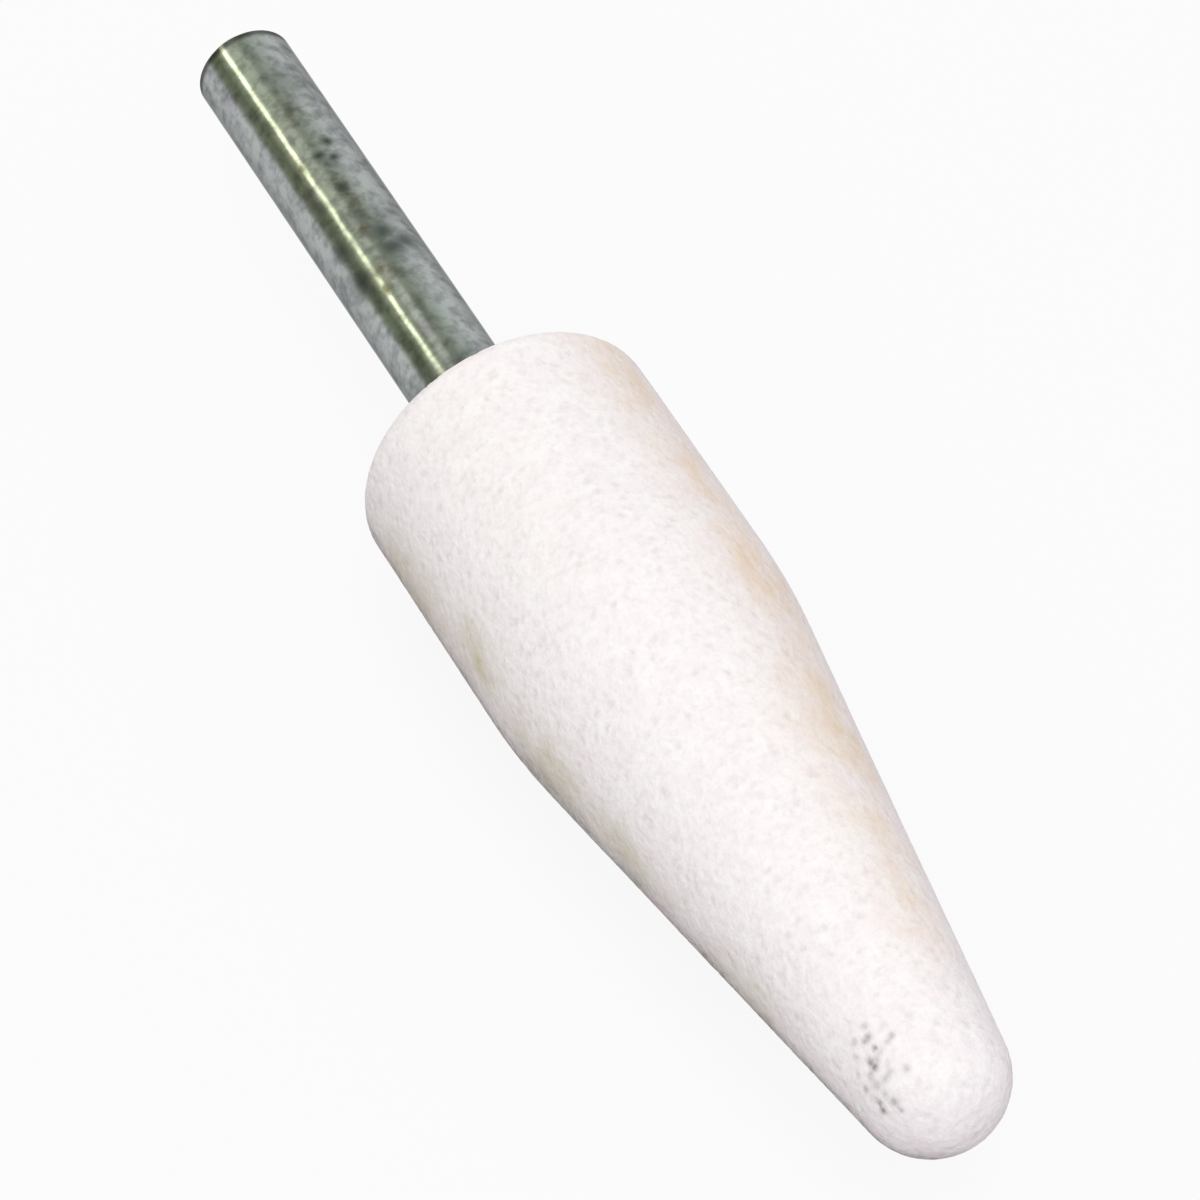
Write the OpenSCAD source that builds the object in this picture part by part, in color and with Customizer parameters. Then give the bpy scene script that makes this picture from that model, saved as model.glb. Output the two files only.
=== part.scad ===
// Mounted point: a taper abrasive head with a round nose, cemented on a plain steel spindle.
// It lies on its barrel along X, nose towards +X. The origin is under its middle, on the surface.
// Profiles are half sections: x is the distance from the axis, y the distance ahead of the back face.

/* [Head] */
// Diameter of the barrel
head_d = 19.05; // [16:0.05:24]
// Length from the back face to the tip of the nose
head_len = 59.4; // [50:0.1:70]
// Length of the barrel, from the back face to where its line would meet the taper's
barrel_len = 20.2; // [16:0.1:25]
// Radius of the round at the back shoulder
shoulder_r = 1.2; // [0.5:0.1:4]
// Radius of the soft blend from barrel to taper
blend_r = 45; // [20:1:60]
// Radius of the round nose
nose_r = 4.6; // [3:0.1:6]

/* [Bore] */
// Gap between the tang and the bore wall, which the cement fills, on the radius
cement_gap = 0.45; // [0.3:0.05:0.8]
// Depth of cement ahead of the end of the tang
cement_plug = 1; // [0.4:0.1:2]
// How far the cement stops short of the back face
cement_recess = 0.25; // [0.1:0.05:0.4]
// Chamfer at the mouth of the bore
mouth_chamfer = 0.6; // [0.5:0.05:1]

/* [Spindle] */
// Diameter of the shank that a collet grips
shank_d = 6.35; // [5:0.05:8]
// Length of shank that stands out behind the head
shank_len = 38.1; // [25:0.1:45]
// Chamfer at each end of the spindle
spindle_chamfer = 0.8; // [0.2:0.1:1]
// How far the tang is turned down from the shank, on the radius
tang_relief = 0.25; // [0.2:0.05:0.5]
// Length of the spindle inside the head
tang_len = 31.75; // [20:0.25:40]
// Radius of the keying grooves, which are half circles sunk in the tang
groove_r = 0.4; // [0.2:0.05:0.6]
// Spacing of the keying grooves along the tang
groove_pitch = 4; // [2.5:0.25:6]

/* [Hidden] */
$fn = 96;

head_r = head_d / 2;
shank_r = shank_d / 2;
tang_r = shank_r - tang_relief;
bore_r = tang_r + cement_gap;
bore_len = tang_len + cement_plug;

// Flat land left on the back face inside the shoulder round
land_r = head_r - shoulder_r;

// How far short of a true tangent each straight line stops, so that it crosses its round cleanly
tuck = 0.01;

// The taper leaves the barrel's line at barrel_len and runs down to the nose round
nose_y = head_len - nose_r;
taper_run = nose_y - tuck - barrel_len;
taper_deg = atan2(head_r, taper_run) - asin(nose_r / norm([taper_run, head_r]));
nose_start = nose_y - tuck + nose_r * sin(taper_deg);

// The blend touches the barrel and the taper at the same distance from where they would meet
blend_reach = blend_r * tan(taper_deg / 2);
blend_start = barrel_len - blend_reach + tuck;
blend_end = barrel_len + blend_reach * cos(taper_deg);

// As many keying grooves as the tang has room for
groove_count = floor((tang_len - groove_r - spindle_chamfer) / groove_pitch);

// Where the back face lies when the whole part is centred on the origin
back_x = (shank_len - head_len) / 2;

// Distance that a cutting shape runs past the surface it opens
over = 1;

// Keeps the part of a half section from y = low to y = high
module stretch(low, high) {
    intersection() {
        polygon([[0, low], [head_d, low], [head_d, high], [0, high]]);
        children();
    }
}

// Outside of the head: back shoulder, barrel, blend, taper and nose, end to end
module head_outline() {
    square([land_r, shoulder_r]);
    intersection() {
        translate([land_r, -over])
            square([head_d, shoulder_r + over]);
        translate([land_r, shoulder_r])
            circle(shoulder_r);
    }
    polygon([[0, shoulder_r], [head_r, shoulder_r], [head_r, blend_start], [0, blend_start]]);
    stretch(blend_start, blend_end + over)
        translate([head_r - blend_r, blend_start])
            circle(blend_r);
    polygon([
        [0, blend_end],
        [head_r - blend_reach * sin(taper_deg), blend_end],
        [nose_r * cos(taper_deg), nose_start],
        [0, nose_start]
    ]);
    stretch(nose_y - over, head_len + over)
        translate([0, nose_y])
            circle(nose_r);
}

// Blind bore with a chamfered mouth and a bevelled end, from y = low inwards
module bore_outline(low) {
    polygon([
        [0, low],
        [bore_r + mouth_chamfer - low, low],
        [bore_r, mouth_chamfer],
        [bore_r, bore_len - spindle_chamfer],
        [bore_r - spindle_chamfer, bore_len],
        [0, bore_len]
    ]);
}

// Shank and tang turned from one bar; the step between them sits on the cement
module spindle_outline() {
    difference() {
        polygon([
            [0, -shank_len],
            [shank_r - spindle_chamfer, -shank_len],
            [shank_r, spindle_chamfer - shank_len],
            [shank_r, cement_recess],
            [tang_r, cement_recess],
            [tang_r, tang_len - spindle_chamfer],
            [tang_r - spindle_chamfer, tang_len],
            [0, tang_len]
        ]);
        for (i = [1 : groove_count])
            translate([tang_r, i * groove_pitch])
                circle(groove_r);
    }
}

// Turns a half section about the axis and lays it down, resting on the barrel
module turned() {
    translate([back_x, 0, head_r])
        rotate([0, 90, 0])
            rotate_extrude()
                children();
}

// Vitrified abrasive head, pressed to shape and fired, with its bore
module abrasive_head() {
    color("#f3eaeb")
        turned()
            difference() {
                head_outline();
                bore_outline(-over);
            }
}

// Steel spindle
module spindle() {
    color("#a3a8a4")
        turned()
            spindle_outline();
}

// Cement that fills the bore round the tang and keys into its grooves
module cement() {
    color("#b3a893")
        turned()
            difference() {
                bore_outline(cement_recess);
                spindle_outline();
            }
}

abrasive_head();
spindle();
cement();
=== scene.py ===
"""Looks of a mounted point: a gritty abrasive head, a drawn steel spindle and the cement between them."""
import cmath
import math
import random

import bmesh
import bpy
import numpy as np
from bpy.props import FloatProperty, FloatVectorProperty, PointerProperty
from bpy.types import Operator, Panel, PropertyGroup
from mathutils import Matrix, Vector, noise


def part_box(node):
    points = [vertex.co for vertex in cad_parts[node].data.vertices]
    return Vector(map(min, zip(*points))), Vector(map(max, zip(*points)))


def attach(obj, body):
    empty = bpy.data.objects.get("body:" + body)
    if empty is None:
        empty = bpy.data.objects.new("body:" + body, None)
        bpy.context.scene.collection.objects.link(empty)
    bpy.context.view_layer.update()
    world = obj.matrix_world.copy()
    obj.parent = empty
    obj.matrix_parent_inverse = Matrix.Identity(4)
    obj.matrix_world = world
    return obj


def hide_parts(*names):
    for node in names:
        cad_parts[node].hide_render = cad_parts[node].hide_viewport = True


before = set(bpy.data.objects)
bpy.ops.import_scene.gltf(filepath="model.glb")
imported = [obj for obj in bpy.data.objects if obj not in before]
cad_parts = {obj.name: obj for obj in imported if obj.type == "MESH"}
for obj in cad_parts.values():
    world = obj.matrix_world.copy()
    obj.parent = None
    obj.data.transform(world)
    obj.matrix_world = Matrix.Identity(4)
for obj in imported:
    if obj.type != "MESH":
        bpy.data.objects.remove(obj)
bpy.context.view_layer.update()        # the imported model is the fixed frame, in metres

bl_info = {
    "name": "Mounted Point",
    "version": (1, 0, 0),
    "blender": (4, 5, 0),
    "location": "3D View > Sidebar > Mounted Point",
    "description": "Dresses the packed mounted point and sets it on a pale floor",
    "category": "Object",
}

MM = 0.001

# Driving sizes that the frame gives
HEAD_LOW, HEAD_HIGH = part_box("abrasive_head")
SPINDLE_LOW, SPINDLE_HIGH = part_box("spindle")
CEMENT_LOW, CEMENT_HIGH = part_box("cement")
HEAD_RADIUS = (HEAD_HIGH.y - HEAD_LOW.y) / 2
SHANK_RADIUS = (SPINDLE_HIGH.y - SPINDLE_LOW.y) / 2
MOUTH_RADIUS = (CEMENT_HIGH.y - CEMENT_LOW.y) / 2
AXIS_HEIGHT = (HEAD_LOW.z + HEAD_HIGH.z) / 2


def linear(hex_colour):
    """Linear RGBA of an sRGB hex colour."""
    channels = [int(hex_colour[i:i + 2], 16) / 255 for i in (1, 3, 5)]
    return tuple(c / 12.92 if c <= 0.04045 else ((c + 0.055) / 1.055) ** 2.4 for c in channels) + (1.0,)


def length(name, description, default):
    """A length property in metres."""
    return FloatProperty(
        name=name, description=description, default=default, min=0, unit="LENGTH", precision=5
    )


def colour(name, description, hex_colour):
    """A colour property, written as an sRGB hex value."""
    return FloatVectorProperty(
        name=name,
        description=description,
        default=linear(hex_colour),
        size=4,
        min=0,
        max=1,
        subtype="COLOR",
    )


def number(name, description, default, subtype="NONE"):
    """A plain number, or an angle in radians."""
    return FloatProperty(name=name, description=description, default=default, subtype=subtype)


class HeadSettings(PropertyGroup):
    """Sizes and colours of the abrasive head"""

    barrel_length: length("Barrel length", "Back face to where barrel and taper would meet", 20.2 * MM)
    shoulder_radius: length("Shoulder radius", "Round at the back shoulder", 1.2 * MM)
    blend_radius: length("Blend radius", "Soft blend from barrel to taper", 45 * MM)
    nose_radius: length("Nose radius", "Round nose", 4.6 * MM)
    mouth_chamfer: length("Mouth chamfer", "Chamfer at the mouth of the bore", 0.6 * MM)
    bore_bevel: length("Bore bevel", "Bevel at the blind end of the bore", 0.8 * MM)
    # A common grit is about 0.25 mm; the grains are drawn coarser than that, so that they show
    grit: length("Grit", "Mean width of an abrasive grain", 0.4 * MM)
    relief: length("Relief", "Depth between the tops of the grains", 0.04 * MM)
    spacing: length("Spacing", "Distance between the mesh points on the outside", 0.2 * MM)
    grain_white: colour("White grain", "Most of the grains", "#F7F6F5")
    grain_pink: colour("Pink grain", "Grains with a faint pink cast", "#F5F0F1")
    # Painted shade in the hollows between the grains, and grey tone in random pores
    pore: colour("Pore", "Shade of an open pore between the grains", "#D6D1D0")
    speck: colour("Speck", "Grey dirt packed in the pores by the nose", "#5F5D5E")
    # Painted light: a peach tint along the +Y flank for a warm cast of the light, not a stain
    painted_warm_light: colour("Warm stain", "Peach handling stain", "#E8D4B8")
    # Painted light: an olive-cream tint low on the -Y side for warm light thrown up from the floor
    painted_bounce_light: colour("Olive stain", "Dull oil stain", "#CFCAAC")
    # Painted shade: dark grey on the downward-facing -Y side of the head
    painted_underside_shade: colour("Bench dirt", "Grey dirt picked up low on one side", "#7F7B69")


class SpindleSettings(PropertyGroup):
    """Sizes and colours of the spindle"""

    chamfer: length("Chamfer", "Chamfer at each end", 0.8 * MM)
    edge_round: length("Edge round", "Worn round on the chamfer's edges", 0.12 * MM)
    tang_relief: length("Tang relief", "How far the tang is turned down, on the radius", 0.25 * MM)
    groove_radius: length("Groove radius", "Half-round keying grooves in the tang", 0.4 * MM)
    groove_pitch: length("Groove pitch", "Spacing of the keying grooves", 4 * MM)
    facing_pitch: length("Facing pitch", "Spacing of the tool marks on the end face", 0.28 * MM)
    spacing: length("Spacing", "Distance between the mesh points round the shank", 0.2 * MM)
    steel: colour("Steel", "Drawn steel under a thin oxide", "#B2B6B5")
    lilac: colour("Lilac oxide", "Patches where the oxide is thicker", "#A09BA5")
    # Also laid on the shank beside the head as painted shade
    film: colour("Film", "Dark old oil film", "#565C5B")
    brown: colour("Brown", "Thin rust beside the spots", "#6A634C")
    # Also the colour of the dark rim at the end, partly a painted dark reflection of the chamfer
    spot_and_dark_rim: colour("Spot", "Dark corrosion spots", "#383A36")
    edge_tint: colour("Edge tint", "Share of light that a dull bar keeps at a glancing angle", "#B0B4B3")


class CementSettings(PropertyGroup):
    """Sizes and colours of the cement"""

    recess: length("Recess", "How far the cement stops short of the back face", 0.25 * MM)
    spacing: length("Spacing", "Distance between the mesh points on the ring that shows", 0.1 * MM)
    lump: length("Lump", "Height of the lumps on the ring that shows", 0.05 * MM)
    cement: colour("Cement", "Set cement", "#B3A893")
    crumb: colour("Crumb", "Darker crumbs in the cement", "#8C826F")


class StageSettings(PropertyGroup):
    """Camera, floor and lamps"""

    azimuth: number("Azimuth", "Bearing of the camera from -Y towards +X", math.radians(63.762), "ANGLE")
    elevation: number("Elevation", "Height of the camera above the horizon", math.radians(46.537), "ANGLE")
    distance: length("Distance", "Camera to the middle of the picture", 431.5 * MM)
    lens: number("Lens", "Focal length in millimetres", 219.7)
    look_along: length("Look along", "Middle of the picture, ahead of the back face", 13.905 * MM)
    look_aside: length("Look aside", "How far the axis passes to the right of the middle", 0.279 * MM)
    floor: colour("Floor", "Matt white sheet, as the camera sees it", "#DEDADE")
    floor_bounce: colour("Floor bounce", "Shade of the sheet in the light that it throws back", "#9C959C")
    floor_lift: number("Floor lift", "Share of plain white in the floor that the camera sees", 0.9)
    ambient: number("Ambient", "Strength of the light from all round", 0.85)
    ambient_hue: colour("Ambient hue", "Colour of the light from all round", "#FCF8FC")
    key: number("Key lamp", "Power of the soft lamp overhead, in watts", 1.1)
    fill: number("Fill lamp", "Power of the low lamp ahead of the nose, in watts", 0.52)
    strip: number("Strip lamp", "Power of the narrow lamp that streaks the shank, in watts", 0.34)


class MountedPointSettings(PropertyGroup):
    """All the settings of the mounted point"""

    head: PointerProperty(type=HeadSettings)
    spindle: PointerProperty(type=SpindleSettings)
    cement: PointerProperty(type=CementSettings)
    stage: PointerProperty(type=StageSettings)


# Outlines are half sections: complex numbers, along the axis + 1j * out from it, from axis to axis

# Straight pieces in the arc of one keying groove, and the fewest in any other round
GROOVE_STEPS = 8
FEWEST_STEPS = 3


def back_face(settings):
    """Where the back face of the head lies along X."""
    return CEMENT_LOW.x - settings.cement.recess


def bore_radius(settings):
    """Radius of the head's bore, past its chamfered mouth."""
    return MOUTH_RADIUS - settings.head.mouth_chamfer + settings.cement.recess


def rounded_outline(corners, step):
    """Outline through corners, each given with the radius of its round, with no gap longer than step."""
    bends = []
    for i, (corner, radius) in enumerate(corners):
        if radius == 0:
            bends.append([corner])
            continue
        before = corners[i - 1][0] - corner
        after = corners[i + 1][0] - corner
        before /= abs(before)
        after /= abs(after)
        half = abs(cmath.phase(after / before)) / 2
        middle = (before + after) / abs(before + after)
        centre = corner + middle * radius / math.sin(half)
        start = corner + before * radius / math.tan(half) - centre
        turn = cmath.phase((corner + after * radius / math.tan(half) - centre) / start)
        count = max(FEWEST_STEPS, math.ceil(abs(turn) * radius / step))
        bends.append([centre + start * cmath.exp(1j * turn * k / count) for k in range(count + 1)])
    points = bends[0][:1]
    for bend in bends:
        gap = bend[0] - points[-1]
        count = math.ceil(abs(gap) / step)
        points += [points[-1] + gap * k / count for k in range(1, count)]
        points += bend if abs(gap) > 0 else bend[1:]
    return points


def head_outline(settings):
    """The head from the blind end of its bore, out over the shoulder and along to the tip of the nose."""
    head = settings.head
    back = back_face(settings)
    tip = HEAD_HIGH.x
    bore = bore_radius(settings)
    bore_end = CEMENT_HIGH.x
    row_gap = 0.95 * head.spacing
    bend = back + head.barrel_length
    run = tip - head.nose_radius - bend
    taper = math.atan2(HEAD_RADIUS, run) - math.asin(head.nose_radius / math.hypot(run, HEAD_RADIUS))
    outside = rounded_outline(
        [
            (complex(back + head.mouth_chamfer, bore), 0),
            (complex(back, bore + head.mouth_chamfer), 0),
            (complex(back, HEAD_RADIUS), head.shoulder_radius),
            (complex(bend, HEAD_RADIUS), head.blend_radius),
            (complex(tip, HEAD_RADIUS - (tip - bend) * math.tan(taper)), head.nose_radius),
            (complex(tip, 0), 0),
        ],
        step=row_gap,
    )
    inside = [
        complex(bore_end, 0),
        complex(bore_end, bore - head.bore_bevel),
        complex(bore_end - head.bore_bevel, bore),
    ]
    return inside + outside


def tang_outline(settings):
    """The tang with its keying grooves, from the step at the end of the shank to the axis."""
    spindle = settings.spindle
    back = back_face(settings)
    radius = SHANK_RADIUS - spindle.tang_relief
    end = SPINDLE_HIGH.x
    count = int((end - back - spindle.groove_radius - spindle.chamfer) / spindle.groove_pitch)
    points = [complex(CEMENT_LOW.x, radius)]
    for i in range(1, count + 1):
        middle = complex(back + i * spindle.groove_pitch, radius)
        for k in range(GROOVE_STEPS + 1):
            points.append(middle + spindle.groove_radius * cmath.exp(1j * math.pi * (1 + k / GROOVE_STEPS)))
    return points + [
        complex(end - spindle.chamfer, radius),
        complex(end, radius - spindle.chamfer),
        complex(end, 0),
    ]


def spindle_outline(settings):
    """The spindle from the middle of its end face, along the shank and the tang."""
    spindle = settings.spindle
    # Rows lie close together, for the rings of tool marks and the small rounds
    row_gap = spindle.spacing / 3
    shank = rounded_outline(
        [
            (complex(SPINDLE_LOW.x, 0), 0),
            (complex(SPINDLE_LOW.x, SHANK_RADIUS - spindle.chamfer), spindle.edge_round),
            (complex(SPINDLE_LOW.x + spindle.chamfer, SHANK_RADIUS), spindle.edge_round),
            (complex(CEMENT_LOW.x, SHANK_RADIUS), 0),
        ],
        step=row_gap,
    )
    return shank + tang_outline(settings)


def cement_outline(settings):
    """The cement from the end of the tang back to the ring that shows, and along the bore to its end."""
    head = settings.head
    bore = bore_radius(settings)
    tang = tang_outline(settings)[::-1]
    ring = rounded_outline(
        [(tang[-1], 0), (complex(CEMENT_LOW.x, MOUTH_RADIUS), 0)],
        step=settings.cement.spacing,
    )
    return tang + ring[1:] + [
        complex(back_face(settings) + head.mouth_chamfer, bore),
        complex(CEMENT_HIGH.x - head.bore_bevel, bore),
        complex(CEMENT_HIGH.x, bore - head.bore_bevel),
        complex(CEMENT_HIGH.x, 0),
    ]


def zip_rings(first, second):
    """Triangles between two rings, each (first index, count, shift in steps); a ring of one is a pole."""
    (start_a, count_a, shift_a), (start_b, count_b, shift_b) = first, second
    steps_a = count_a if count_a > 1 else 0
    steps_b = count_b if count_b > 1 else 0
    triangles = []
    a = b = 0
    while a < steps_a or b < steps_b:
        next_a = (a + 1 + shift_a) / count_a
        next_b = (b + 1 + shift_b) / count_b
        here_a = start_a + a % count_a
        here_b = start_b + b % count_b
        if b == steps_b or (a < steps_a and next_a <= next_b):
            a += 1
            triangles.append((here_a, start_a + a % count_a, here_b))
        else:
            b += 1
            triangles.append((start_b + b % count_b, here_b, here_a))
    return triangles


def turned_piece(name, outline, spacing, finish, material):
    """A closed mesh turned from an outline; finish(points, normals) gives heights and named values."""
    fewest_points = 12
    axis_limit = spacing / 10
    outline = np.array(outline)
    tangent = np.gradient(outline)
    normal = 1j * tangent / np.abs(tangent)
    places, normals, rings = [], [], []
    total = 0
    for i, point in enumerate(outline):
        on_axis = point.imag < axis_limit
        count = 1 if on_axis else max(fewest_points, round(2 * math.pi * point.imag / spacing))
        # Each second ring is turned by half a step
        shift = 0.5 * (i % 2)
        turn = 2 * math.pi * (np.arange(count) + shift) / count
        out = 0.0 if on_axis else point.imag
        side = 0.0 if on_axis else normal[i].imag
        for rows, along, away in ((places, point.real, out), (normals, normal[i].real, side)):
            rows.append(np.stack([np.full(count, along), away * np.sin(turn), away * np.cos(turn)], 1))
        rings.append((total, count, shift))
        total += count
    places = np.concatenate(places)
    normals = np.concatenate(normals)
    triangles = [t for pair in zip(rings, rings[1:]) for t in zip_rings(*pair)]
    heights, values = finish(places, normals)
    places = places + normals * heights[:, None]
    places[:, 2] += AXIS_HEIGHT

    mesh = bpy.data.meshes.new(name)
    mesh.from_pydata(places.tolist(), [], triangles)
    for label, numbers in values.items():
        mesh.attributes.new(label, "FLOAT", "POINT").data.foreach_set("value", numbers.astype(np.float32))
    tidy = bmesh.new()
    tidy.from_mesh(mesh)
    bmesh.ops.recalc_face_normals(tidy, faces=tidy.faces)
    tidy.to_mesh(mesh)
    tidy.free()
    mesh.polygons.foreach_set("use_smooth", [True] * len(mesh.polygons))
    mesh.materials.append(material)
    piece = bpy.data.objects.new(name, mesh)
    bpy.context.scene.collection.objects.link(piece)
    return piece


def patches(points, back, places):
    """How much of a stain each point carries: each place is (along, turn, size, stretch, strength)."""
    radius = np.hypot(points[:, 1], points[:, 2])
    turns = np.arctan2(points[:, 1], points[:, 2])
    most = np.zeros(len(points))
    for along, turn, size, stretch, strength in places:
        away = (turns - math.radians(turn) + math.pi) % (2 * math.pi) - math.pi
        distance = np.hypot((points[:, 0] - back - along * MM) / stretch, away * radius) / (size * MM)
        most = np.maximum(most, strength * np.exp(-(distance**2)))
    return most


def eased(share):
    """A share from 0 to 1 that starts and ends gently."""
    return share**2 * (3 - 2 * share)


def rough(points, width):
    """Smooth random values between about -1 and 1, with lumps of a given width."""
    return np.array([noise.noise(p) for p in (points / width).tolist()])


# Places of stains and of painted light: mm ahead of the back face, degrees round from the top towards +Y,
# size in mm, how many times longer along the axis than round it, and strength
# Painted light: a peach tint along the upper +Y flank, for a warm cast of the light
PAINTED_WARM_LIGHT = (
    (5, 42, 2.8, 2.0, 0.9),
    (13, 42, 2.6, 2.4, 0.8),
    (22, 43, 3.0, 2.0, 1.0),
    (33, 41, 3.0, 2.2, 1.0),
    (41, 36, 2.4, 2.2, 0.7),
    (47, 30, 2.0, 1.8, 0.6),
)
# Painted light: an olive-cream tint low on the -Y side, for warm light thrown up from the floor
PAINTED_BOUNCE_LIGHT = (
    (8, -90, 2.0, 2.2, 0.8),
    (16.2, -82, 1.8, 1.6, 1.0),
    (24.3, -90, 2.0, 2.0, 1.0),
    (32, -92, 1.8, 2.6, 0.8),
    (44, -93, 1.5, 2.6, 0.6),
)
SPOTS = (
    (-26.0, 10, 0.42, 1.0, 0.9),
    (-25.0, -9, 0.36, 1.0, 0.8),
    (-24.5, 6, 0.4, 1.0, 0.9),
    (-21.7, -6, 0.4, 1.2, 0.7),
)
FILMS = (
    (-19.1, -7, 0.7, 1.2, 0.5),
    (-17.2, 4, 0.9, 1.1, 0.9),
    (-15.6, 3, 0.9, 1.0, 0.9),
    (-16.0, 22, 0.9, 1.0, 0.9),
    (-18.6, 18, 0.9, 1.3, 0.4),
    (-21.8, -42, 0.5, 1.6, 0.5),
    (-17.6, -47, 0.7, 1.4, 0.9),
    (-14.6, -48, 0.9, 1.3, 1.0),
    (-32.0, 16, 1.0, 1.4, 0.4),
)
BROWNS = (
    (-24.9, -36, 0.42, 1.0, 0.7),
    (-29.5, -8, 0.8, 2.4, 0.4),
    (-22.6, -8, 0.5, 1.4, 0.8),
    (-20.4, -6, 0.6, 1.6, 0.8),
    (-18.0, -12, 0.6, 1.6, 0.8),
    (-14.2, -18, 0.6, 1.4, 0.8),
    (-12.9, -29, 0.45, 1.0, 0.9),
)

# The specks by the nose: how many, where their row starts, how far it runs and how far they stray from it,
# along in mm and round in degrees, then their sizes in mm and strengths
SPECK_SEED = 12
SPECK_COUNT = 26
SPECK_START = (52.6, -38)
SPECK_RUN = (4.4, -24)
SPECK_STRAY = (0.45, 14)
SPECK_SIZES = (0.15, 0.28)
SPECK_STRENGTHS = (0.3, 0.4, 0.6, 0.9)


def speck_places():
    """Dirty pores in a loose row that slants down across the nose."""
    draw = random.Random(SPECK_SEED)
    places = []
    for _ in range(SPECK_COUNT):
        share = draw.random()
        along, turn = [
            start + run * share + draw.gauss(0, stray)
            for start, run, stray in zip(SPECK_START, SPECK_RUN, SPECK_STRAY)
        ]
        places.append((along, turn, draw.uniform(*SPECK_SIZES), 1.0, draw.choice(SPECK_STRENGTHS)))
    return places


def head_finish(settings):
    """Grains, pores, specks, painted light and painted shade on the outside of the head."""
    head = settings.head
    back = back_face(settings)

    # Grit covers what lies further out than the mouth, less a lip, and all that is well ahead of the bore
    mouth_lip = 0.3 * MM
    past_bore = 1 * MM

    # Swells left by the mould
    swell_depth = 0.02 * MM
    swell_width = 7 * MM

    # Grains: widths in grains, depths in shares of the relief. Those drawn above lost_above fell out
    crease_width = 0.3
    lost_edge = 0.35
    lost_above = 0.93
    seat_depth, crease_depth, lost_depth, facet_tilt = 0.35, 0.5, 1.6, 0.6
    deepest = 2
    half_way = Vector((0.5, 0.5, 0.5))

    # Painted shade low on the -Y side: where it ends and how fast it fades, as parts of a unit normal
    shade_top, shade_fade = 0.04, 0.46
    shade_wave, shade_wave_width = 0.1, 3 * MM
    nose_clear = 0.3
    side_limit, side_fade = 0.15, 0.6

    def finish(points, normals):
        outside = np.hypot(points[:, 1], points[:, 2]) > MOUTH_RADIUS - mouth_lip
        outside |= points[:, 0] > CEMENT_HIGH.x + past_bore
        grain = np.zeros(len(points))
        edge = np.zeros(len(points))
        facet = np.zeros(len(points))
        for i, place in enumerate((points / head.grit).tolist()):
            distances, centres = noise.voronoi(place)
            grain[i] = 0.5 + 0.5 * noise.cell(centres[0])
            edge[i] = distances[1] - distances[0]
            facet[i] = (Vector(place) - centres[0]).dot(noise.cell_vector(centres[0]) - half_way)
        crease = np.clip(1 - edge / crease_width, 0, 1) ** 2
        lost = (grain > lost_above) * np.clip(edge / lost_edge, 0, 1)
        dip = seat_depth * grain + crease_depth * crease + lost_depth * lost - facet_tilt * facet
        dip = np.clip(dip, 0, None)
        swell = swell_depth * rough(points, swell_width)
        height = np.where(outside, swell - swell_depth - head.relief * dip, 0)
        # Painted shade low on the -Y side: it thins out upwards, and the nose is left nearly clear of it
        clear = nose_clear * np.clip(normals[:, 0], 0, 1)
        depth = shade_top - normals[:, 2] - clear + shade_wave * rough(points, shade_wave_width)
        low = np.clip(depth / shade_fade, 0, 1)
        aside = np.clip((side_limit - normals[:, 1]) / side_fade, 0, 1)
        return height, {
            "dip": np.clip(dip / deepest, 0, 1),
            "speck": patches(points, back, speck_places()),
            "painted_warm_light": patches(points, back, PAINTED_WARM_LIGHT),
            "painted_bounce_light": patches(points, back, PAINTED_BOUNCE_LIGHT),
            "painted_underside_shade": eased(low) * aside,
        }

    return finish


def spindle_finish(settings):
    """Long waves of the drawn bar, tool marks on the end face, oil film and spots on the shank, and painted
    shade by the head.
    """
    spindle = settings.spindle
    back = back_face(settings)
    wave_depth, wave_width = 0.006 * MM, 1.3 * MM
    mark_depth = 0.008 * MM
    pit_depth = 0.015 * MM

    # The waves end just short of the joint, and the tool marks just short of the middle
    joint_gap = 0.1 * MM
    middle_gap = 0.3 * MM

    # How far a normal may lean along X on the shank, and how far it has to lean back on the end face
    shank_slope = 0.2
    end_slope = -0.9

    # Painted shade on the shank beside the head, in the oil film's colour, and the dark rim at the end
    joint_shade_reach = 7 * MM
    rim_reach, rim_fade, rim_strength = 0.6 * MM, 0.35 * MM, 0.75
    rim_inside = SHANK_RADIUS - 1.1 * spindle.chamfer

    def finish(points, normals):
        shank = (points[:, 0] < CEMENT_LOW.x - joint_gap) * (np.abs(normals[:, 0]) < shank_slope)
        wave = wave_depth * rough(points, wave_width)
        radius = np.hypot(points[:, 1], points[:, 2])
        faced = (normals[:, 0] < end_slope) * (radius > middle_gap)
        marks = mark_depth * np.cos(2 * math.pi * radius / spindle.facing_pitch)
        spots = patches(points, back, SPOTS)
        # Painted shade: the film darkens the shank towards the head, where the head shades it
        joint = np.clip(1 - (back - points[:, 0]) / joint_shade_reach, 0, 1)
        # Dark rim at the end: partly scale on the cut end, partly a painted dark reflection of the chamfer
        rim = np.clip((SPINDLE_LOW.x + spindle.chamfer + rim_reach - points[:, 0]) / rim_fade, 0, 1)
        rim *= radius > rim_inside
        height = shank * (wave - wave_depth) + faced * (marks - mark_depth) - pit_depth * spots
        return height, {
            "spots": np.maximum(spots, rim_strength * rim),
            "film": np.maximum(patches(points, back, FILMS), joint),
            "brown": patches(points, back, BROWNS),
        }

    return finish


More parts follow.
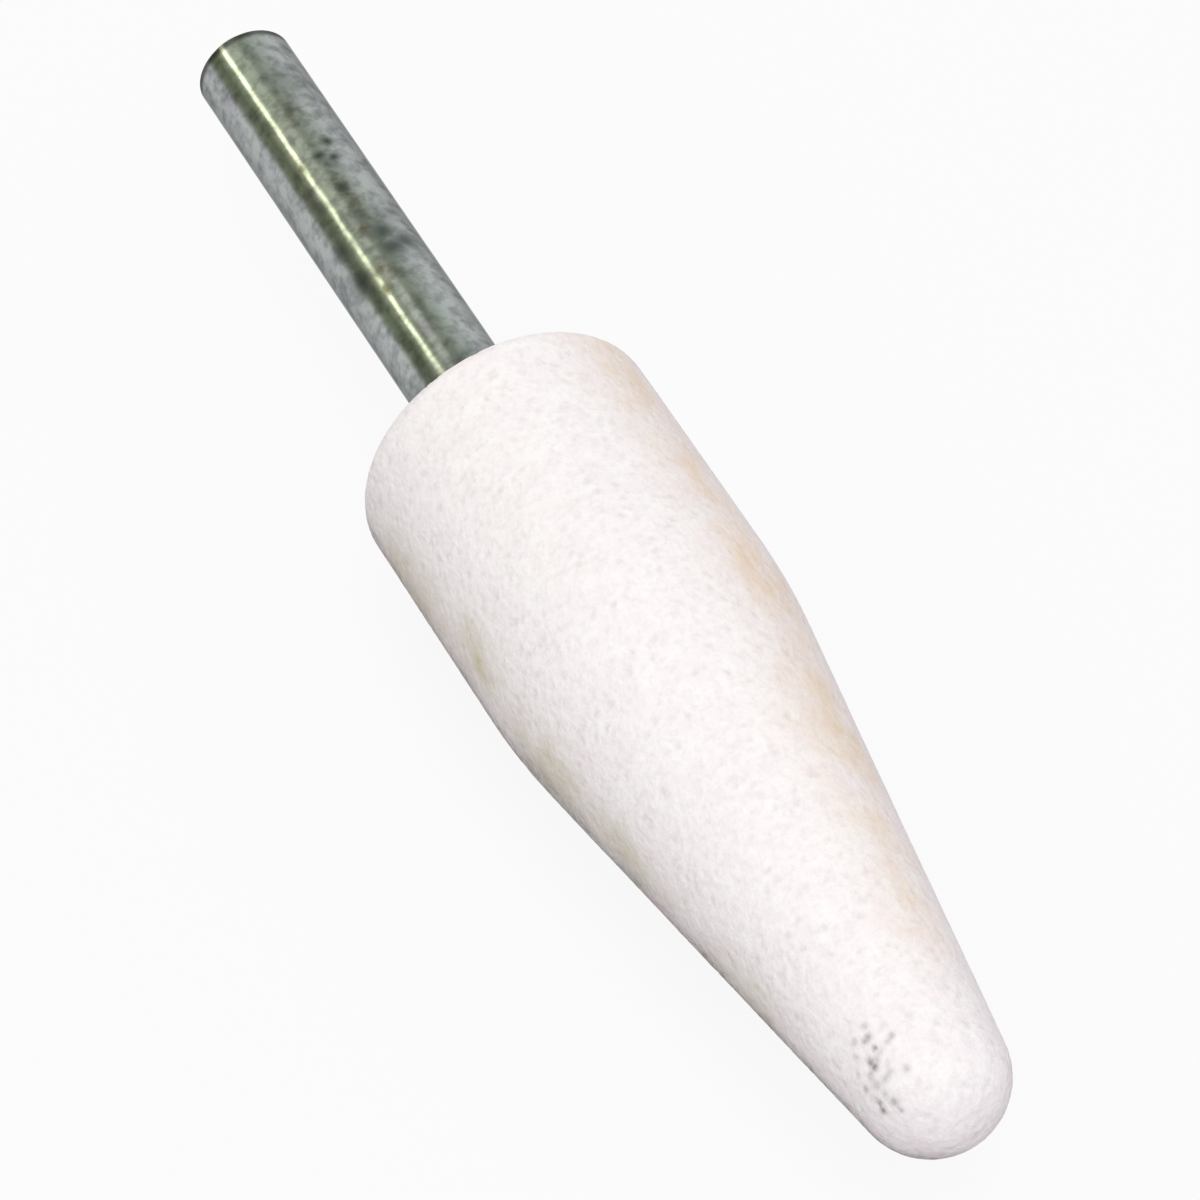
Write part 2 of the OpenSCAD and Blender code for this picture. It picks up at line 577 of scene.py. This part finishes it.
def cement_finish(settings):
    """Lumps on the ring that shows."""
    cement = settings.cement
    lump_width = 0.6 * MM
    face_depth = 0.01 * MM
    rim = 0.05 * MM

    def finish(points, normals):
        shows = points[:, 0] < CEMENT_LOW.x + face_depth
        inner = np.hypot(points[:, 1], points[:, 2])
        shows &= (inner > SHANK_RADIUS) & (inner < MOUTH_RADIUS - rim)
        return np.where(shows, cement.lump * rough(points, lump_width), 0), {}

    return finish


def add_node(tree, kind, inputs=None, **settings):
    """Adds a node, sets it, and links or fills its inputs by name or place."""
    node = tree.nodes.new(kind)
    for label, value in settings.items():
        setattr(node, label, value)
    for key, value in (inputs or {}).items():
        if isinstance(value, bpy.types.NodeSocket):
            tree.links.new(value, node.inputs[key])
        else:
            node.inputs[key].default_value = value
    return node


# Places of the colour sockets on a Mix node
FACTOR, MIX_A, MIX_B, MIXED = 0, 6, 7, 2


def new_material(name):
    """A material with an empty node tree and its output."""
    material = bpy.data.materials.new(name)
    material.use_nodes = True
    tree = material.node_tree
    tree.nodes.clear()
    output = tree.nodes.new("ShaderNodeOutputMaterial")
    return material, tree, output


def vitrified_alumina(head):
    """Vitrified white alumina: pressed grains fired in a glassy bond, so a matt, gritty, porous white."""
    material, tree, output = new_material("vitrified_alumina")
    tone_width = 1.5 * MM
    # The pores are a third wider than the grains, so they are drawn coarse too
    pore_width = head.grit / 0.75
    stain_width = 2.2 * MM
    place = add_node(tree, "ShaderNodeTexCoord").outputs["Object"]
    dip = add_node(tree, "ShaderNodeAttribute", attribute_name="dip")
    speck = add_node(tree, "ShaderNodeAttribute", attribute_name="speck")
    warm_light = add_node(tree, "ShaderNodeAttribute", attribute_name="painted_warm_light")
    olive = add_node(tree, "ShaderNodeAttribute", attribute_name="painted_bounce_light")
    underside_shade = add_node(tree, "ShaderNodeAttribute", attribute_name="painted_underside_shade")

    # Grains, from white to faintly pink
    tone = add_node(
        tree,
        "ShaderNodeTexNoise",
        {"Vector": place, "Scale": 1 / tone_width, "Detail": 3.0, "Roughness": 0.6},
    )
    pinkness = add_node(
        tree, "ShaderNodeMapRange", {"Value": tone.outputs["Fac"], "From Min": 0.4, "From Max": 0.65}
    )
    grains = add_node(
        tree,
        "ShaderNodeMix",
        {FACTOR: pinkness.outputs[0], MIX_A: head.grain_white, MIX_B: head.grain_pink},
        data_type="RGBA",
    )

    # Pores and sunk grains, in soft grey: painted shade where the mesh is sunk, and grey tone in random
    # pores
    gaps = add_node(
        tree,
        "ShaderNodeTexNoise",
        {"Vector": place, "Scale": 1 / pore_width, "Detail": 2.0, "Roughness": 0.6},
    )
    open_gaps = add_node(
        tree,
        "ShaderNodeMapRange",
        {"Value": gaps.outputs["Fac"], "From Min": 0.46, "From Max": 0.75, "To Max": 0.3},
    )
    # Painted shade: grey by how deep the mesh is sunk there
    depth = add_node(
        tree,
        "ShaderNodeMath",
        {0: dip.outputs["Fac"], 1: 0.4, 2: open_gaps.outputs[0]},
        operation="MULTIPLY_ADD",
    )
    pore_tone_and_shade = add_node(
        tree,
        "ShaderNodeMix",
        {FACTOR: depth.outputs[0], MIX_A: grains.outputs[MIXED], MIX_B: head.pore},
        data_type="RGBA",
    )

    # Painted warm light on the +Y flank and painted bounce light low on the -Y side, broken up by a slow
    # cloud
    cloud = add_node(
        tree,
        "ShaderNodeTexNoise",
        {"Vector": place, "Scale": 1 / stain_width, "Detail": 3.0, "Roughness": 0.6},
    )
    broken = add_node(
        tree,
        "ShaderNodeMapRange",
        {"Value": cloud.outputs["Fac"], "From Min": 0.3, "From Max": 0.65, "To Min": 0.2, "To Max": 0.95},
    )
    stains_and_painted_light = pore_tone_and_shade
    for amount, hue in ((warm_light, head.painted_warm_light), (olive, head.painted_bounce_light)):
        strength = add_node(
            tree, "ShaderNodeMath", {0: amount.outputs["Fac"], 1: broken.outputs[0]}, operation="MULTIPLY"
        )
        stains_and_painted_light = add_node(
            tree,
            "ShaderNodeMix",
            {FACTOR: strength.outputs[0], MIX_A: stains_and_painted_light.outputs[MIXED], MIX_B: hue},
            data_type="RGBA",
        )

    # Painted shade on the low side, thickest between the grains, and grey dirt in the pores by the nose
    shade_breakup = add_node(
        tree,
        "ShaderNodeMapRange",
        {"Value": gaps.outputs["Fac"], "From Min": 0.35, "From Max": 0.65, "To Min": 0.4, "To Max": 0.9},
    )
    underside_shade_amount = add_node(
        tree, "ShaderNodeMath", {0: underside_shade.outputs["Fac"], 1: shade_breakup.outputs[0]}, operation="MULTIPLY"
    )
    shade_and_specks = stains_and_painted_light
    for amount, hue in ((underside_shade_amount.outputs[0], head.painted_underside_shade), (speck.outputs["Fac"], head.speck)):
        shade_and_specks = add_node(
            tree,
            "ShaderNodeMix",
            {FACTOR: amount, MIX_A: shade_and_specks.outputs[MIXED], MIX_B: hue},
            data_type="RGBA",
        )
    bump = add_node(
        tree,
        "ShaderNodeBump",
        {"Height": gaps.outputs["Fac"], "Strength": 1.0, "Distance": 0.1 * MM},
    )
    shader = add_node(
        tree,
        "ShaderNodeBsdfPrincipled",
        {
            "Base Color": shade_and_specks.outputs[MIXED],
            "Roughness": 0.9,
            "IOR": 1.5,
            "Normal": bump.outputs["Normal"],
        },
    )
    tree.links.new(shader.outputs["BSDF"], output.inputs["Surface"])
    return material


def drawn_steel(spindle):
    """Drawn steel bar: faint die lines along it, dulled by a mottled oxide, old oil and a few spots."""
    material, tree, output = new_material("drawn_steel")
    # Die lines are finer than this on a real bar, and are drawn coarser so that they show
    line_length, line_width = 9 * MM, 0.22 * MM
    blotch_width = 0.9 * MM
    oxide_width = 1.6 * MM
    film = add_node(tree, "ShaderNodeAttribute", attribute_name="film")
    spots = add_node(tree, "ShaderNodeAttribute", attribute_name="spots")
    brown = add_node(tree, "ShaderNodeAttribute", attribute_name="brown")
    place = add_node(tree, "ShaderNodeTexCoord").outputs["Object"]
    lines = add_node(
        tree,
        "ShaderNodeMapping",
        {"Vector": place, "Scale": (1 / line_length, 1 / line_width, 1 / line_width)},
    )
    streak = add_node(
        tree,
        "ShaderNodeTexNoise",
        {"Vector": lines.outputs[0], "Scale": 1.0, "Detail": 3.0, "Roughness": 0.55},
    )
    cloud = add_node(
        tree,
        "ShaderNodeTexNoise",
        {"Vector": place, "Scale": 1 / blotch_width, "Detail": 2.0, "Roughness": 0.6},
    )
    oxide = add_node(
        tree,
        "ShaderNodeTexNoise",
        {"Vector": place, "W": 3.0, "Scale": 1 / oxide_width, "Detail": 3.0, "Roughness": 0.6},
        noise_dimensions="4D",
    )

    # Bare steel, its thicker oxide and the dark blotches on both
    thick = add_node(
        tree,
        "ShaderNodeMapRange",
        {"Value": oxide.outputs["Fac"], "From Min": 0.5, "From Max": 0.7, "To Max": 0.7},
    )
    bare = add_node(
        tree,
        "ShaderNodeMix",
        {FACTOR: thick.outputs[0], MIX_A: spindle.steel, MIX_B: spindle.lilac},
        data_type="RGBA",
    )
    blotch = add_node(
        tree,
        "ShaderNodeMapRange",
        {"Value": cloud.outputs["Fac"], "From Min": 0.42, "From Max": 0.7, "To Max": 0.55},
    )
    mottled = add_node(
        tree,
        "ShaderNodeMix",
        {FACTOR: blotch.outputs[0], MIX_A: bare.outputs[MIXED], MIX_B: spindle.film},
        data_type="RGBA",
    )

    # Oil film and the painted shade beside the head, rust that crumbles with the blotches, and spots and
    # the dark rim at the end
    crumbly = add_node(
        tree,
        "ShaderNodeMapRange",
        {"Value": cloud.outputs["Fac"], "From Min": 0.35, "From Max": 0.6, "To Min": 0.3},
    )
    rust = add_node(
        tree, "ShaderNodeMath", {0: brown.outputs["Fac"], 1: crumbly.outputs[0]}, operation="MULTIPLY"
    )
    stains_and_painted_light = mottled
    for amount, hue in (
        (film.outputs["Fac"], spindle.film),
        (rust.outputs[0], spindle.brown),
        (spots.outputs["Fac"], spindle.spot_and_dark_rim),
    ):
        stains_and_painted_light = add_node(
            tree,
            "ShaderNodeMix",
            {FACTOR: amount, MIX_A: stains_and_painted_light.outputs[MIXED], MIX_B: hue},
            data_type="RGBA",
        )

    # The film and the rust are duller than the bar
    dulled = add_node(
        tree, "ShaderNodeMapRange", {"Value": streak.outputs["Fac"], "To Min": 0.1, "To Max": 0.22}
    )
    for amount, dulling in ((film.outputs["Fac"], 0.2), (rust.outputs[0], 0.25)):
        dulled = add_node(
            tree,
            "ShaderNodeMath",
            {0: amount, 1: dulling, 2: dulled.outputs[0]},
            operation="MULTIPLY_ADD",
        )
    bump = add_node(
        tree,
        "ShaderNodeBump",
        {"Height": streak.outputs["Fac"], "Strength": 0.1, "Distance": 0.01 * MM},
    )
    shader = add_node(
        tree,
        "ShaderNodeBsdfPrincipled",
        {
            "Base Color": stains_and_painted_light.outputs[MIXED],
            "Metallic": 1.0,
            "Roughness": dulled.outputs[0],
            "Specular Tint": spindle.edge_tint,
            "Normal": bump.outputs["Normal"],
        },
    )
    tree.links.new(shader.outputs["BSDF"], output.inputs["Surface"])
    return material


def set_cement(cement):
    """Set mounting cement: trowelled in wet and left as it dried, so dull, lumpy and crumbly."""
    material, tree, output = new_material("set_cement")
    crumb_width = 0.3 * MM
    place = add_node(tree, "ShaderNodeTexCoord").outputs["Object"]
    crumbs = add_node(
        tree,
        "ShaderNodeTexNoise",
        {"Vector": place, "Scale": 1 / crumb_width, "Detail": 4.0, "Roughness": 0.65},
    )
    shade = add_node(
        tree, "ShaderNodeMapRange", {"Value": crumbs.outputs["Fac"], "From Min": 0.4, "From Max": 0.7}
    )
    mixed = add_node(
        tree,
        "ShaderNodeMix",
        {FACTOR: shade.outputs[0], MIX_A: cement.cement, MIX_B: cement.crumb},
        data_type="RGBA",
    )
    bump = add_node(
        tree,
        "ShaderNodeBump",
        {"Height": crumbs.outputs["Fac"], "Strength": 0.6, "Distance": 0.08 * MM},
    )
    shader = add_node(
        tree,
        "ShaderNodeBsdfPrincipled",
        {
            "Base Color": mixed.outputs[MIXED],
            "Roughness": 0.92,
            "IOR": 1.5,
            "Normal": bump.outputs["Normal"],
        },
    )
    tree.links.new(shader.outputs["BSDF"], output.inputs["Surface"])
    return material


def white_to_the_eye(tree):
    """1 for rays from the camera, from a mirror-like surface or through glass, else 0."""
    path = add_node(tree, "ShaderNodeLightPath")
    seen = path.outputs["Is Camera Ray"]
    for kind in ("Is Glossy Ray", "Is Transmission Ray"):
        either = add_node(tree, "ShaderNodeMath", {0: seen, 1: path.outputs[kind]}, operation="MAXIMUM")
        seen = either.outputs[0]
    return seen


def white_sheet(stage):
    """Matt white paper: nearly white to the eye, shadow and all, and darker in the light it throws back."""
    material, tree, output = new_material("white_sheet")
    seen = white_to_the_eye(tree)
    lift = add_node(tree, "ShaderNodeMath", {0: seen, 1: stage.floor_lift}, operation="MULTIPLY")
    shade = add_node(
        tree,
        "ShaderNodeMix",
        {FACTOR: seen, MIX_A: stage.floor_bounce, MIX_B: stage.floor},
        data_type="RGBA",
    )
    paper = add_node(tree, "ShaderNodeBsdfDiffuse", {"Color": shade.outputs[MIXED]})
    glow = add_node(tree, "ShaderNodeEmission", {"Strength": 1.0})
    mixed = add_node(
        tree, "ShaderNodeMixShader", {0: lift.outputs[0], 1: paper.outputs[0], 2: glow.outputs[0]}
    )
    tree.links.new(mixed.outputs[0], output.inputs["Surface"])
    return material


def tinted_card():
    """Card in soft bands of olive and white, which a bright bar reflects along its length."""
    material, tree, output = new_material("tinted_card")
    band = add_node(tree, "ShaderNodeAttribute", attribute_name="band")
    glow = add_node(tree, "ShaderNodeEmission", {"Color": band.outputs["Color"], "Strength": 1.0})
    tree.links.new(glow.outputs[0], output.inputs["Surface"])
    return material


# Bands of the card: degrees round the spindle axis from straight up towards +Y,
# colour far behind the part, colour nearer to it
CARD_BANDS = (
    (-90, "#E6EAE2", "#E6EAE2"),
    (-80, "#949C84", "#949C84"),
    (-62, "#7E866C", "#7E866C"),
    (-52, "#A9B094", "#A9B094"),
    (-33, "#DCE4CA", "#D4DCC2"),
    (-26, "#DEE6CC", "#8E967C"),
    (-19, "#E0E8CE", "#FFFFF4"),
    (-9, "#DAE2CA", "#FFFFF4"),
    (-2, "#B8C0AE", "#A6AE9C"),
    (8, "#AEB6A4", "#A6AE9C"),
    (26, "#D0D8CC", "#D0D8CC"),
    (46, "#EEF4EE", "#EEF4EE"),
    (70, "#FFFFFF", "#FFFFFF"),
)

# Where the card changes along X, in metres, and which of the two colours it has there
CARD_STATIONS = ((-0.75, 1), (-0.462, 1), (-0.454, 2), (0.6, 2))


def around(degrees, reach, along):
    """A point a given way round the spindle axis from straight up towards +Y, and along X."""
    angle = math.radians(degrees)
    return Vector((along, reach * math.sin(angle), AXIS_HEIGHT + reach * math.cos(angle)))


def add_lamp(name, place, target, size, power, hue="#FFFFFF"):
    """A rectangular lamp at a place, facing a target, with its first side as near to X as it can be."""
    lamp = bpy.data.lights.new(name, "AREA")
    lamp.shape = "RECTANGLE"
    lamp.size, lamp.size_y = size
    lamp.energy = power
    lamp.color = linear(hue)[:3]
    obj = bpy.data.objects.new(name, lamp)
    facing = (place - target).normalized()
    across = facing.cross(Vector((1, 0, 0))).normalized()
    along = across.cross(facing)
    obj.matrix_world = Matrix.Translation(place) @ Matrix((along, across, facing)).transposed().to_4x4()
    bpy.context.scene.collection.objects.link(obj)
    return obj


class MOUNTEDPOINT_OT_head(Operator):
    """Makes the abrasive head, in place of its solid"""

    bl_idname = "mounted_point.head"
    bl_label = "Abrasive head"

    def execute(self, context):
        settings = context.scene.mounted_point
        piece = turned_piece(
            "abrasive_head_grit",
            head_outline(settings),
            settings.head.spacing,
            head_finish(settings),
            vitrified_alumina(settings.head),
        )
        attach(piece, "root")
        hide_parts("abrasive_head")
        return {"FINISHED"}


class MOUNTEDPOINT_OT_spindle(Operator):
    """Makes the steel spindle, in place of its solid"""

    bl_idname = "mounted_point.spindle"
    bl_label = "Steel spindle"

    def execute(self, context):
        settings = context.scene.mounted_point
        piece = turned_piece(
            "spindle_bar",
            spindle_outline(settings),
            settings.spindle.spacing,
            spindle_finish(settings),
            drawn_steel(settings.spindle),
        )
        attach(piece, "root")
        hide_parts("spindle")
        return {"FINISHED"}


class MOUNTEDPOINT_OT_cement(Operator):
    """Makes the cement, in place of its solid"""

    bl_idname = "mounted_point.cement"
    bl_label = "Mounting cement"

    def execute(self, context):
        settings = context.scene.mounted_point
        piece = turned_piece(
            "cement_fill",
            cement_outline(settings),
            settings.cement.spacing,
            cement_finish(settings),
            set_cement(settings.cement),
        )
        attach(piece, "root")
        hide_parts("cement")
        return {"FINISHED"}


class MOUNTEDPOINT_OT_stage(Operator):
    """Makes the floor, the lamps, the card that the shank reflects and the camera"""

    bl_idname = "mounted_point.stage"
    bl_label = "Stage"

    def execute(self, context):
        settings = context.scene.mounted_point
        stage = settings.stage
        self.lay_floor(context, stage)
        self.light(context, stage)
        self.hang_card(context)
        self.aim_camera(context, settings)
        context.scene.view_settings.view_transform = "Standard"
        return {"FINISHED"}

    def lay_floor(self, context, stage):
        """A wide sheet under the part."""
        half = 2.0
        mesh = bpy.data.meshes.new("floor_sheet")
        corners = [(-half, -half, 0), (half, -half, 0), (half, half, 0), (-half, half, 0)]
        mesh.from_pydata(corners, [], [(0, 1, 2, 3)])
        mesh.materials.append(white_sheet(stage))
        sheet = bpy.data.objects.new("floor_sheet", mesh)
        context.scene.collection.objects.link(sheet)

    def light(self, context, stage):
        """Light from all round, a soft lamp overhead, a low one ahead and a narrow one by the shank."""
        world = bpy.data.worlds.new("studio")
        world.use_nodes = True
        tree = world.node_tree
        tree.nodes.clear()
        output = tree.nodes.new("ShaderNodeOutputWorld")
        seen = white_to_the_eye(tree)
        ambient = add_node(
            tree, "ShaderNodeBackground", {"Color": stage.ambient_hue, "Strength": stage.ambient}
        )
        white = add_node(tree, "ShaderNodeBackground", {"Color": linear("#FFFFFF"), "Strength": 1.0})
        mixed = add_node(tree, "ShaderNodeMixShader", {0: seen, 1: ambient.outputs[0], 2: white.outputs[0]})
        tree.links.new(mixed.outputs[0], output.inputs["Surface"])
        context.scene.world = world

        middle = Vector((0, 0, AXIS_HEIGHT))
        overhead = Vector((0.26, -0.02, 0.75))
        add_lamp("key_lamp", overhead, middle, size=(0.3, 0.3), power=stage.key, hue="#FFFFF8")
        nose = Vector((HEAD_HIGH.x, 0, AXIS_HEIGHT))
        ahead = Vector((0.42, -0.16, 0.03))
        add_lamp("fill_lamp", ahead, nose, size=(0.05, 0.25), power=stage.fill)
        shank = Vector((-30 * MM, 0, AXIS_HEIGHT))
        beside = around(degrees=-40, reach=0.4, along=-0.35)
        add_lamp("strip_lamp", beside, shank, size=(0.6, 0.06), power=stage.strip, hue="#F4F7CF")

    def hang_card(self, context):
        """A curved card over the part and behind it, seen only in reflections."""
        reach = 0.5
        wide = len(CARD_STATIONS)
        points = []
        shades = []
        for band in CARD_BANDS:
            for x, column in CARD_STATIONS:
                points.append(around(band[0], reach, x))
                shades += linear(band[column])
        starts = [row * wide + k for row in range(len(CARD_BANDS) - 1) for k in range(wide - 1)]
        mesh = bpy.data.meshes.new("tinted_card")
        mesh.from_pydata(points, [], [(k, k + 1, k + 1 + wide, k + wide) for k in starts])
        mesh.attributes.new("band", "FLOAT_COLOR", "POINT").data.foreach_set("color", shades)
        mesh.materials.append(tinted_card())
        card = bpy.data.objects.new("tinted_card", mesh)
        card.visible_camera = False
        card.visible_diffuse = False
        card.visible_shadow = False
        card.visible_transmission = False
        context.scene.collection.objects.link(card)

    def aim_camera(self, context, settings):
        """The camera looks down on the nose end, with the part across the picture."""
        stage = settings.stage
        low, high = math.cos(stage.elevation), math.sin(stage.elevation)
        away = Vector((math.sin(stage.azimuth) * low, -math.cos(stage.azimuth) * low, high))
        right = Vector((math.cos(stage.azimuth), math.sin(stage.azimuth), 0))
        across = away.cross(Vector((1, 0, 0))).normalized()
        middle = Vector((back_face(settings) + stage.look_along, 0, AXIS_HEIGHT))
        middle -= across * (stage.look_aside if across.dot(right) > 0 else -stage.look_aside)
        data = bpy.data.cameras.new("camera")
        data.lens = stage.lens
        data.sensor_width = 36
        data.clip_start = 0.01
        data.clip_end = 20
        camera = bpy.data.objects.new("camera", data)
        camera.location = middle + away * stage.distance
        camera.rotation_euler = (-away).to_track_quat("-Z", "Y").to_euler()
        context.scene.collection.objects.link(camera)
        context.scene.camera = camera


class MOUNTEDPOINT_PT_panel(Panel):
    """Lists the operators that dress the mounted point"""

    bl_idname = "MOUNTEDPOINT_PT_panel"
    bl_label = "Mounted Point"
    bl_space_type = "VIEW_3D"
    bl_region_type = "UI"
    bl_category = "Mounted Point"

    def draw(self, context):
        for operator in OPERATORS:
            self.layout.operator(operator.bl_idname)


OPERATORS = (MOUNTEDPOINT_OT_head, MOUNTEDPOINT_OT_spindle, MOUNTEDPOINT_OT_cement, MOUNTEDPOINT_OT_stage)
GROUPS = (HeadSettings, SpindleSettings, CementSettings, StageSettings, MountedPointSettings)


def register():
    """Registers the settings, the operators and the panel."""
    for item in GROUPS + OPERATORS + (MOUNTEDPOINT_PT_panel,):
        bpy.utils.register_class(item)
    bpy.types.Scene.mounted_point = PointerProperty(type=MountedPointSettings)


def unregister():
    """Takes them away again."""
    del bpy.types.Scene.mounted_point
    for item in reversed(GROUPS + OPERATORS + (MOUNTEDPOINT_PT_panel,)):
        bpy.utils.unregister_class(item)


def main():
    """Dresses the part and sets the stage."""
    register()
    bpy.ops.mounted_point.head()
    bpy.ops.mounted_point.spindle()
    bpy.ops.mounted_point.cement()
    bpy.ops.mounted_point.stage()


if __name__ == "__main__":
    main()
